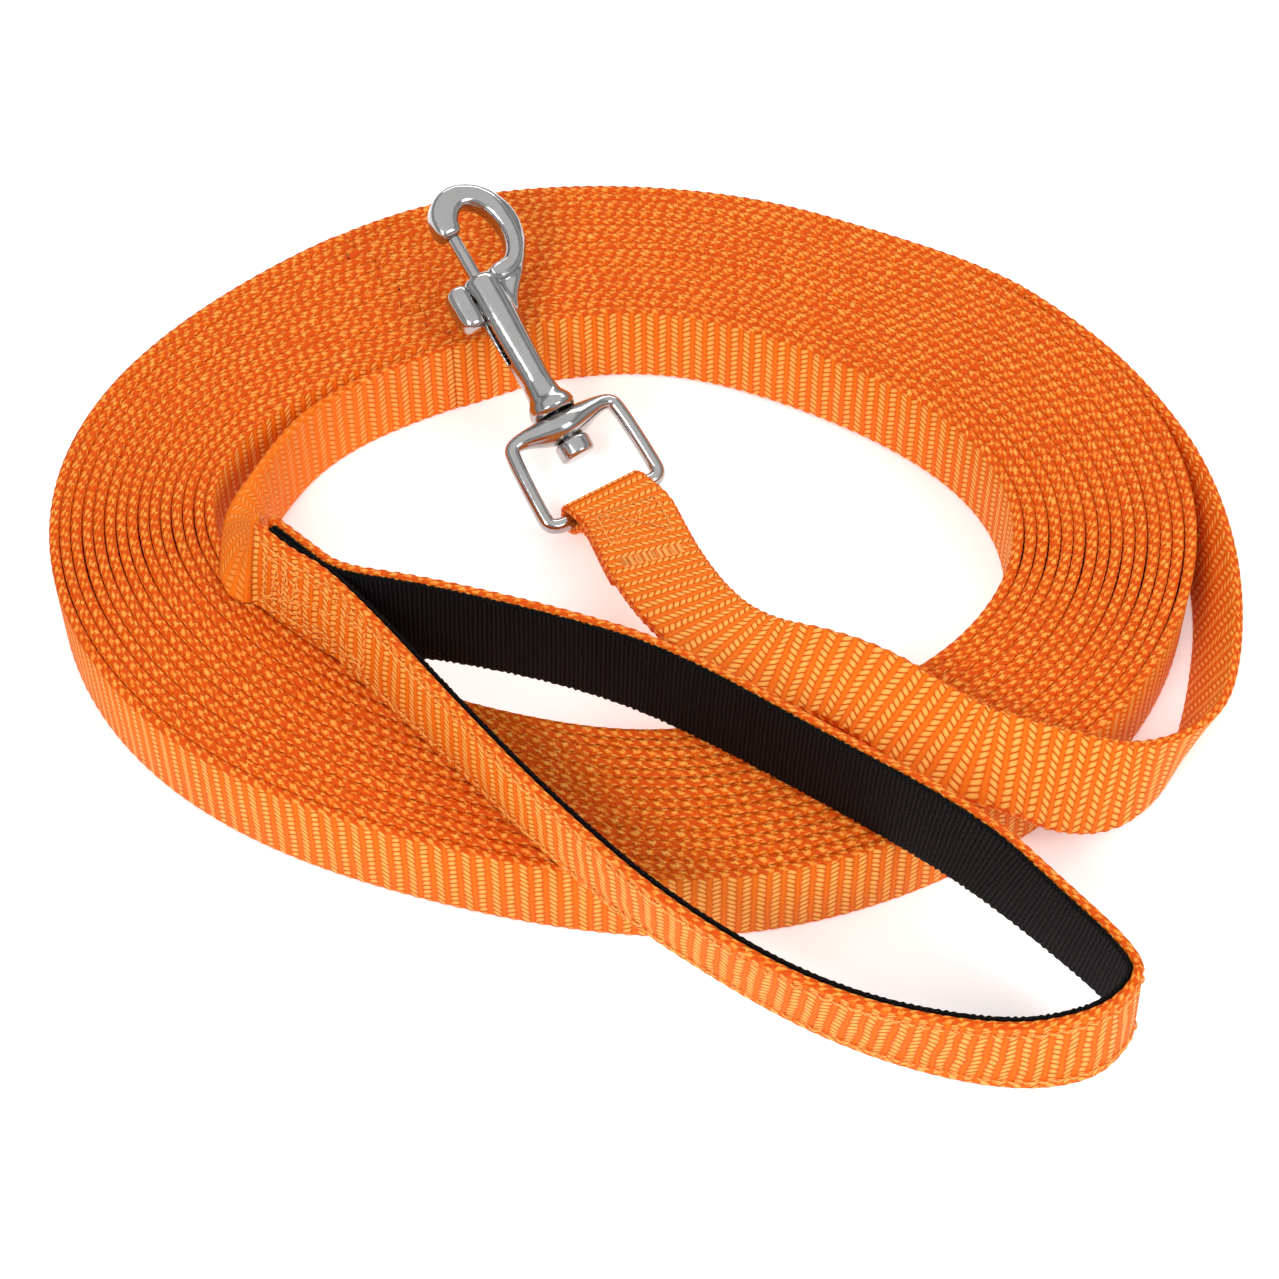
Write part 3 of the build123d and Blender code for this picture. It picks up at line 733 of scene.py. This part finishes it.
def full_thickness(strap):
    """Webbing that lies soft and full against the next turn, and is flat again at its two ends."""
    from_middle = strap.centre[:, :2] - COIL_CENTRE
    theta = np.degrees(np.arctan2(from_middle[:, 1], from_middle[:, 0]))
    pitch = (outline(COIL_OUTER_R, theta) - outline(COIL_INNER_R, theta) - WEB_THICK) / TURNS
    full = np.clip(pitch - LAYER_AIR, WEB_THICK, WEB_THICK + SWELL)
    from_ends = ease(strap.s / FLAT_AT_ENDS) * ease((strap.length - strap.s) / FLAT_AT_ENDS)
    return WEB_THICK + (full - WEB_THICK) * from_ends


thickness = full_thickness(wound)
middle_of_coil = wound.length * INNER_SHARE
halves = (("coil_inner_turns", 0.0, middle_of_coil), ("coil_outer_turns", middle_of_coil, wound.length))
for name, start, end in halves:
    part = stretch(wound, start, end + STEP)
    part_thick = thickness[wound.part(start, end + STEP)]
    piece = webbing(name, part, thick=part_thick, section=COIL_SECTION, relief=0.12, bead=0.24)
    finish_piece(piece, ORANGE, "webbing", "lead_coil")
    print(name, "length", round(part.length), "mm, triangles", 2 * len(piece.data.polygons))

# %% [markdown]
# ## Free stretches
#
# The strap leaves the coil's inner wall, cups a little as it rolls over, and runs straight on
# into the hand loop.  They could be two straps that meet, but then the ribs would jump at the
# seam.  So both are cut from one strap, at a whole number of ribs.

# %% Inner run
# The last stretch before the seam widens back to full width over this length.
TO_FULL = 12.0
# Cupped cloth bows out by up to this much as its edges come closer together.
CUP = 5.0

inner_end = strap_from(INNER_RUN + HANDLE[1:], STEP, width=None)
seam_point = (np.array(INNER_RUN[-1][0]) + np.array(INNER_RUN[-1][1])) / 2
from_seam = np.linalg.norm(inner_end.centre - seam_point, axis=1)
seam = inner_end.s[np.argmin(from_seam[:len(inner_end.s) // 2])]
seam = round(seam / (2 * RIB)) * 2 * RIB
to_full = ease((inner_end.s - seam + TO_FULL) / TO_FULL)
inner_end.half = inner_end.half * (1 - to_full) + WEB_WIDTH / 2 * to_full


def inner_run():
    """The first part of the inner end, cupped where its edges come closer together."""
    strap = stretch(inner_end, 0.0, seam + 0.01)
    narrow = (1 - strap.half / (WEB_WIDTH / 2)).clip(0, 1)
    across = np.array([a for a, _ in SEWN_SECTION])
    piece = webbing("inner_run", strap, section=SEWN_SECTION)
    bow = (1 - across ** 2)[None, :] * (narrow * CUP)[:, None]
    coords = np.array([v.co for v in piece.data.vertices])
    side = -np.sign(strap.normal[len(strap.s) // 3] @ np.array((-1.0, 0.0, 0.0)))
    shift = strap.normal[:, None, :] * (bow * side)[..., None]
    coords += shift.reshape(-1, 3) * MM
    piece.data.vertices.foreach_set("co", coords.ravel())
    return strap, piece


run_strap, run_piece = inner_run()
finish_piece(run_piece, ROLLED_ORANGE, "webbing", "lead_inner_run")
print("inner run", round(run_strap.length), "mm, seam at", round(seam, 2), "mm")

# %% [markdown]
# The hand loop is the same webbing, pulled in along its two rows of sewing.  A thinner black
# lining lies inside it, a little narrower, so that orange shows along both its edges.

# %% Hand loop and its lining
handle = stretch(inner_end, seam - 0.01, inner_end.length)
# Any point well inside the loop tells which of the strap's faces is the inner one.
loop_middle = np.array((0.0, -60.0, 30.0))
quarter = len(handle.s) // 4
INSIDE = float(np.sign((loop_middle - handle.centre[quarter]) @ handle.normal[quarter]))
sewn_rows = tuple((row, 0.0, handle.length) for row in (-STITCH_ROW, STITCH_ROW))
handle_piece = webbing("hand_loop_webbing", handle, section=SEWN_SECTION, sewn=sewn_rows)
finish_piece(handle_piece, SEWN_ORANGE, "webbing", "handle_strap")

lining = handle.moved(INSIDE * (WEB_THICK / 2 + LAYER_GAP + LINING_THICK / 2), LINING_WIDTH)
LINING_SHORT = 1.5
lining = stretch(lining, LINING_SHORT, lining.length - LINING_SHORT)
lining_piece = webbing("hand_loop_lining", lining, thick=LINING_THICK, rib=LINING_RIB,
                       section=SEWN_SECTION, relief=0.05, bead=0.34)
finish_piece(lining_piece, LINING, "lining", "handle_lining")
print("hand loop", round(handle.length), "mm, lining", round(lining.length), "mm")

# %% [markdown]
# The tail is a flat cord: it leaves the coil, bows out, climbs over the coil's front and ends at
# the eye's bar.  Its two edges follow splines of their own, which is how it twists.

# %% Tail
tail = strap_from(with_clip_end(TAIL), STEP)
tail_piece = webbing("tail", tail, section=SEWN_SECTION, bead=0.2)
finish_piece(tail_piece, ORANGE, "webbing", "lead_tail")
print("tail", round(tail.length), "mm")

# %% [markdown]
# The end of the tail turns round the bar and lies back under itself, where it is sewn down.  It
# could be part of the tail's own mesh, but a fold of its own is easier to place: half a circle
# round the bar, then the tail's own sections, lowered by their thickness.

# %% Folded end
FOLD_BACK = 35.0
# The two layers close up over this length from the bar.
CLOSING = 9.0
BEND_POINTS = 14


def folded_end():
    """Half a turn round the bar, then back under the tail."""
    up = unit(tail.centre[-1] - BAR_CENTRE)
    ahead = unit(np.cross(tail.across[-1], up))
    ahead = ahead * np.sign(ahead @ (tail.centre[-1] - tail.centre[-8]))
    radius = np.linalg.norm(tail.centre[-1] - BAR_CENTRE)
    turn = np.linspace(0.0, math.pi, BEND_POINTS)[:, None]
    bend = BAR_CENTRE + radius * (up * np.cos(turn) + ahead * np.sin(turn))
    back = tail.part(tail.length - FOLD_BACK, tail.length)[::-1]
    down = tail.normal[back] * -np.sign(tail.normal[back][:, 2:3])
    from_bar = (tail.length - tail.s[back]) / CLOSING
    closed = WEB_THICK + LAYER_GAP
    drop = closed + (2 * radius - closed) * (1 - np.minimum(from_bar, 1.0)) ** 2
    under = tail.centre[back] + down * drop[:, None]
    route = np.concatenate([bend[:-1], under])
    across = np.concatenate([np.tile(tail.across[-1], (BEND_POINTS - 1, 1)), tail.across[back]])
    return Strap(route, across, np.full(len(route), WEB_WIDTH / 2), STEP)


fold = folded_end()
fold_piece = webbing("folded_end", fold, section=PLAIN_SECTION)
finish_piece(fold_piece, ORANGE, "webbing", "clip_end_fold")
print("folded end", round(fold.length), "mm")

# %% [markdown]
# ## Sewing
#
# Every stitch is a short thread that rises out of the webbing and dives back in.  Stitches could
# be drawn as bump alone, but close up they would look printed.  So each is a small bent tube, and
# a row of them follows the strap, in places given as (distance along, distance across).

# %% Stitches
THREAD_R = 0.27
# A stitch has this many rings of this many points, rises this much and starts this deep.
RINGS, SIDES = 6, 6
RISE, SUNK = 0.34, 0.14
# The thread is this share of its thickness where it dives in.
THREAD_END = 0.55


def on_strap(strap, along, across, off):
    """Points at a place on a strap's face, and its normal there."""
    at = np.clip(along, strap.s[0], strap.s[-1])
    centre = resample(strap.centre, strap.s, at)
    side = unit(resample(strap.across, strap.s, at))
    normal = unit(resample(strap.normal, strap.s, at))
    return centre + side * np.asarray(across)[:, None] + normal * off, normal


def sewing(name, strap, lines, off, stitch=2.65, gap=0.22):
    """Stitches along straight lines on a strap's face; each line has two ends as places."""
    verts, faces, cloth = [], [], []
    sides = np.linspace(0, 2 * math.pi, SIDES + 1)[:-1]
    for (s0, v0), (s1, v1) in lines:
        count = max(int(round(math.hypot(s1 - s0, v1 - v0) / stitch)), 1)
        for k in range(count):
            t = np.linspace(k + gap / 2, k + 1 - gap / 2, RINGS) / count
            crest = np.sin(np.linspace(0, math.pi, RINGS))
            points, normal = on_strap(strap, s0 + (s1 - s0) * t, v0 + (v1 - v0) * t, off)
            points = points + normal * (np.sign(off) * (crest * RISE - SUNK))[:, None]
            ahead = unit(np.gradient(points, axis=0))
            sideways = unit(np.cross(ahead, normal))
            upward = np.cross(sideways, ahead)
            thick = THREAD_R * (THREAD_END + (1.0 - THREAD_END) * crest)
            base = len(verts)
            for i in range(RINGS):
                for angle in sides:
                    ring = sideways[i] * math.cos(angle) + upward[i] * math.sin(angle)
                    verts.append(points[i] + ring * thick[i])
                    cloth.append((k + i / (RINGS - 1), angle, 0.0))
            for i in range(RINGS - 1):
                for j in range(SIDES):
                    a, b = base + i * SIDES + j, base + i * SIDES + (j + 1) % SIDES
                    faces.append((a, b, b + SIDES, a + SIDES))
            faces.append(tuple(base + j for j in reversed(range(SIDES))))
            faces.append(tuple(base + (RINGS - 1) * SIDES + j for j in range(SIDES)))
    return mesh_object(name, place(np.array(verts)), faces, np.array(cloth))


def box_and_cross(start, end, reach):
    """A sewn box with a cross in it."""
    corners = ((start, -reach), (start, reach), (end, reach), (end, -reach))
    sides = [(corners[i], corners[(i + 1) % 4]) for i in range(4)]
    return sides + [(corners[0], corners[2]), (corners[1], corners[3])]


def zigzag(start, end, reach, legs):
    """A dense zigzag across the strap."""
    places = [(start + (end - start) * k / legs, reach if k % 2 else -reach) for k in range(legs + 1)]
    return list(zip(places, places[1:]))


print("legs of a box and cross", len(box_and_cross(0.0, 1.0, 1.0)))

# %% [markdown]
# The hand loop has a row of sewing near each edge, and a box, a cross and a zigzag where its two
# ends meet at the neck.  The clip end has a box with a cross, and a dense bar tack behind it.

# %% Sewn rows, boxes and the bar tack
OUTER_FACE = -INSIDE * WEB_THICK / 2
NECK = 34.0
TOP_FACE = float(np.sign(tail.normal[-1][2])) * WEB_THICK / 2
edge_rows = {"upper": STITCH_ROW, "lower": -STITCH_ROW}
ROW_FROM_END = 2.0
for name, row in edge_rows.items():
    line = ((ROW_FROM_END, row), (handle.length - ROW_FROM_END, row))
    piece = sewing("hand_loop_stitches_" + name, handle, [line], OUTER_FACE)
    finish_piece(piece, THREAD, "thread", "handle_stitch_" + name)
neck_lines = box_and_cross(4.0, NECK, 5.4) + zigzag(6.0, 14.0, 5.0, 6)
neck = sewing("neck_stitches", handle, neck_lines, OUTER_FACE, 2.2)
finish_piece(neck, THREAD, "thread", "neck_stitch")
end = tail.length
box_piece = sewing("clip_end_box_stitches", tail, box_and_cross(end - 25.0, end - 10.0, 6.8), TOP_FACE, 2.0)
finish_piece(box_piece, THREAD, "thread", "clip_end_box_stitch")
tack = sewing("clip_end_bartack_stitches", tail, zigzag(end - 35.5, end - 32.0, 6.8, 22), TOP_FACE, 1.6)
finish_piece(tack, THREAD, "thread", "clip_end_bartack")
for piece in (neck, box_piece, tack):
    print(piece.name, "faces", len(piece.data.polygons))

# %% [markdown]
# The tail is the leash's one free stretch.  This prints its length in metres, and how many points
# every fourth section of the strap gives.

# %% The tail's length
print("cord of", round(tail.length * MM, 3), "m along", len(tail.centre[::4]), "points")

# %% [markdown]
# ## Metal
#
# The snap, its button and the rivet are castings, and no edge of a plated casting is sharp.  A
# bevel could round their edges, but it fails where many faces meet.  So each is a copy of its CAD
# node with a fine remesh, which evens out its faces, and a little smoothing.

# %% Softened castings
# From here on along the clip, over this length, the casting turns into the round wire of the hook.
HOOK_FROM, HOOK_BLEND = 40.0, 9.0


def along_clip(mesh):
    """How far along the clip each of a mesh's points is, in millimetres from the bar."""
    coords = np.empty(len(mesh.vertices) * 3)
    mesh.vertices.foreach_get("co", coords)
    return (coords.reshape(-1, 3) / MM - TO_BOX_CENTRE - BAR_CENTRE) @ clip_axes()[0]


def applied(piece):
    """The piece with its modifiers worked into its mesh."""
    ready = bpy.data.meshes.new_from_object(piece.evaluated_get(bpy.context.evaluated_depsgraph_get()))
    piece.modifiers.clear()
    piece.data = ready
    ready.name = piece.name


def softened(node, name, body, voxel, rounds, hook_rounds=0, fuller=0.0):
    """A copy of a CAD node with the rounded edges of a plated casting, rounder still along the hook."""
    piece = bpy.data.objects.new(name, nodes[node].data.copy())
    bpy.context.scene.collection.objects.link(piece)
    remesh = piece.modifiers.new("remesh", "REMESH")
    remesh.mode = "VOXEL"
    remesh.voxel_size = voxel
    applied(piece)
    hook = piece.vertex_groups.new(name="hook")
    for number, u in enumerate(along_clip(piece.data)):
        hook.add([number], min(max((u - HOOK_FROM) / HOOK_BLEND, 0.0), 1.0), "REPLACE")
    swell = piece.modifiers.new("swell", "DISPLACE")
    swell.strength, swell.mid_level, swell.vertex_group = fuller, 0.0, "hook"
    for label, count, group in (("soften", rounds, ""), ("soften_hook", hook_rounds, "hook")):
        soften = piece.modifiers.new(label, "SMOOTH")
        soften.factor, soften.iterations, soften.vertex_group = 0.5, count, group
    applied(piece)
    piece.data.polygons.foreach_set("use_smooth", np.full(len(piece.data.polygons), True))
    print(name, "triangles", 2 * len(piece.data.polygons))
    return finish_piece(piece, NICKEL, "nickel", node, body=body)


softened("snap_body", "snap_casting", "snap", 0.00028, 8, 90, 0.00045)
softened("thumb_button", "button_casting", "gate", 0.00022, 4, 110, 0.0006)
softened("swivel_rivet", "rivet_casting", "snap", 0.0002, 36)

# %% [markdown]
# The eye is one loop of wire that swells into a smooth saddle where the rivet passes.  The CAD
# eye is a plain frame with a crown, so it is drawn afresh: a closed loop of points on the clip's
# flat, given as (along, across), with a ring of wire round each.

# %% Swivel eye
def clip_point(along_by, across_by):
    """From a place along and across the clip to the coil's axes."""
    along, across, _ = clip_axes()
    return BAR_CENTRE + along * along_by + across * across_by


EYE_LOOP = ((0.0, -10.0), (0.0, -14.5), (5.0, -14.5), (12.0, -14.2), (17.4, -13.8), (20.0, -13.2),
            (20.6, -10.0), (19.9, -5.0), (19.3, 0.0), (19.9, 5.0), (20.6, 10.0), (20.0, 13.2),
            (17.4, 13.8), (12.0, 14.2), (5.0, 14.5), (0.0, 14.5), (0.0, 10.0), (0.0, 0.0), (0.0, -10.0))
# The saddle starts this far along the clip, reaches this far to either side, and adds this much
# to the wire's radius in the clip's flat and square to it.
SADDLE_FROM, SADDLE_REACH = 15.0, 13.0
SADDLE_WIDER, SADDLE_THICKER = 2.0, 2.9
WIRE_POINTS = 24


def eye_casting():
    """The eye's loop of wire, which swells into a smooth saddle where the rivet passes."""
    route = spline_points([clip_point(a, c) for a, c in EYE_LOOP])[:-1]
    along, across, square = clip_axes()
    ahead = unit(np.roll(route, -1, axis=0) - np.roll(route, 1, axis=0))
    sideways = np.cross(ahead, square)
    local = (route - BAR_CENTRE) @ np.stack([along, across], axis=1)
    rise = ease(1.0 - np.abs(local[:, 1]) / SADDLE_REACH)
    saddle = np.where(local[:, 0] > SADDLE_FROM, rise, 0.0)[:, None]
    in_plane = BAR_R + saddle * SADDLE_WIDER
    through = BAR_R + saddle * SADDLE_THICKER
    rings = []
    for angle in np.linspace(0, 2 * math.pi, WIRE_POINTS + 1)[:-1]:
        rings.append(route + sideways * in_plane * math.cos(angle) + square * through * math.sin(angle))
    verts = np.stack(rings, axis=1)
    n, m, _ = verts.shape
    index = np.arange(n * m).reshape(n, m)
    after, beside = np.roll(index, -1, axis=0), np.roll(index, -1, axis=1)
    faces = np.stack([index, after, np.roll(after, -1, axis=1), beside], axis=-1).reshape(-1, 4).tolist()
    return mesh_object("eye_casting", place(verts.reshape(-1, 3)), faces)


eye_piece = eye_casting()
finish_piece(eye_piece, NICKEL, "nickel", "swivel_eye", body="eye")
print("eye faces", len(eye_piece.data.polygons))

# %% [markdown]
# The bolt is turned from rod, so its CAD shape is right as it is, and only its finish changes.

# %% Gate bolt
nodes["gate_bolt"].data.materials.clear()
nodes["gate_bolt"].data.materials.append(NICKEL)

# %% [markdown]
# The spring stands inside the barrel, 16.3 mm long, and closes up into the 6.8 mm of room that the
# gate leaves when it is drawn back.  Here it keeps its CAD shape, with the spring wire's finish.

# %% Spring
spring = bpy.data.objects.new("spring_coils", nodes["gate_spring"].data.copy())
bpy.context.scene.collection.objects.link(spring)
finish_piece(spring, SPRING, "spring", "gate_spring", body="snap")
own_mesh(spring)
print("spring faces", len(spring.data.polygons))

# %% [markdown]
# ## Floor and light
#
# A pale floor, a bright sky and three large soft lights give the flat, almost shadowless light of
# a studio table.  A single lamp would be simpler, but the metal needs something to mirror: the
# sky has a darker band part of the way up, which shows as dark streaks along the castings.

# %% Floor
FLOOR_REACH, FLOOR_DEPTH = 3.0, 0.0002


def floor():
    """A pale floor that glows a little, so that it stays white under the strap."""
    made, shader, solid = new_material("pale_floor", 0.9)
    feed(shader, "Base Color", solid.noise(3.0).mix((0.95, 0.95, 0.95, 1.0), (0.97, 0.97, 0.97, 1.0)))
    shader.inputs["Emission Color"].default_value = (1.0, 1.0, 1.0, 1.0)
    shader.inputs["Emission Strength"].default_value = 0.3
    turns = ((-1, -1), (1, -1), (1, 1), (-1, 1))
    corners = np.array([(x * FLOOR_REACH, y * FLOOR_REACH, -FLOOR_DEPTH) for x, y in turns])
    piece = mesh_object("floor", corners, [(0, 1, 2, 3)], smooth=False)
    piece.data.materials.append(made)


floor()
print("floor at", -FLOOR_DEPTH, "m")


# %% Lights and sky
DARK_BAND, BAND_REACH, BAND_DEPTH = 0.60, 0.17, 0.75


def area_light(name, where, aim, size, power):
    """A soft rectangular light that looks at a point."""
    lamp = bpy.data.lights.new(name, "AREA")
    lamp.shape = "RECTANGLE"
    lamp.size, lamp.size_y = size
    lamp.energy = power
    holder = bpy.data.objects.new(name, lamp)
    bpy.context.scene.collection.objects.link(holder)
    holder.location = where
    holder.rotation_euler = (Vector(aim) - Vector(where)).to_track_quat("-Z", "Y").to_euler()


def sky(above, level):
    """Soft light from all round, brighter from above, with a darker band for the metal."""
    world = bpy.data.worlds.new("studio")
    bpy.context.scene.world = world
    world.use_nodes = True
    way = Shade(world.node_tree).node("ShaderNodeTexCoord", {}, {}, "Generated")
    height = way.node("ShaderNodeSeparateXYZ", {}, {0: way}, 2)
    bright = height.step(-0.1, 0.75) - height.hump(DARK_BAND, BAND_REACH) * BAND_DEPTH
    glow = bright.mix((level, level, level, 1.0), (above, above, above, 1.0))
    world.node_tree.links.new(glow.socket, world.node_tree.nodes["Background"].inputs["Color"])


sky(0.93, 0.22)
area_light("key", (-0.35, -0.75, 0.75), (0.0, 0.0, 0.0), (0.35, 0.35), 5.2)
area_light("fill", (0.6, -0.4, 0.6), (0.0, 0.0, 0.0), (0.35, 0.35), 2.2)
area_light("back", (0.1, 0.75, 0.55), (0.0, 0.05, 0.0), (0.9, 0.2), 2.4)

# %% [markdown]
# ## Camera
#
# The camera looks down at fifty degrees through a fairly long lens, from six hundred millimetres
# away, which makes the coil's far side look nearly a quarter smaller than its near side.  The
# usual view transform washes strong orange out to pink, and the standard one keeps it.

# %% Camera
bpy.context.scene.view_settings.view_transform = "Standard"

ELEVATION = math.radians(50.0)
DISTANCE = 600.0
lens = bpy.data.cameras.new("camera")
lens.sensor_width = 36.0
lens.lens = 79.43
lens.clip_start = 0.01
camera = bpy.data.objects.new("camera", lens)
bpy.context.scene.collection.objects.link(camera)
eye_point = (0.0, -DISTANCE * math.cos(ELEVATION), DISTANCE * math.sin(ELEVATION))
camera.location = place((eye_point,))[0]
camera.rotation_euler = (math.pi / 2 - ELEVATION, 0.0, 0.0)
bpy.context.scene.camera = camera
print("camera at", tuple(round(c, 4) for c in camera.location), "lens", lens.lens, "mm")
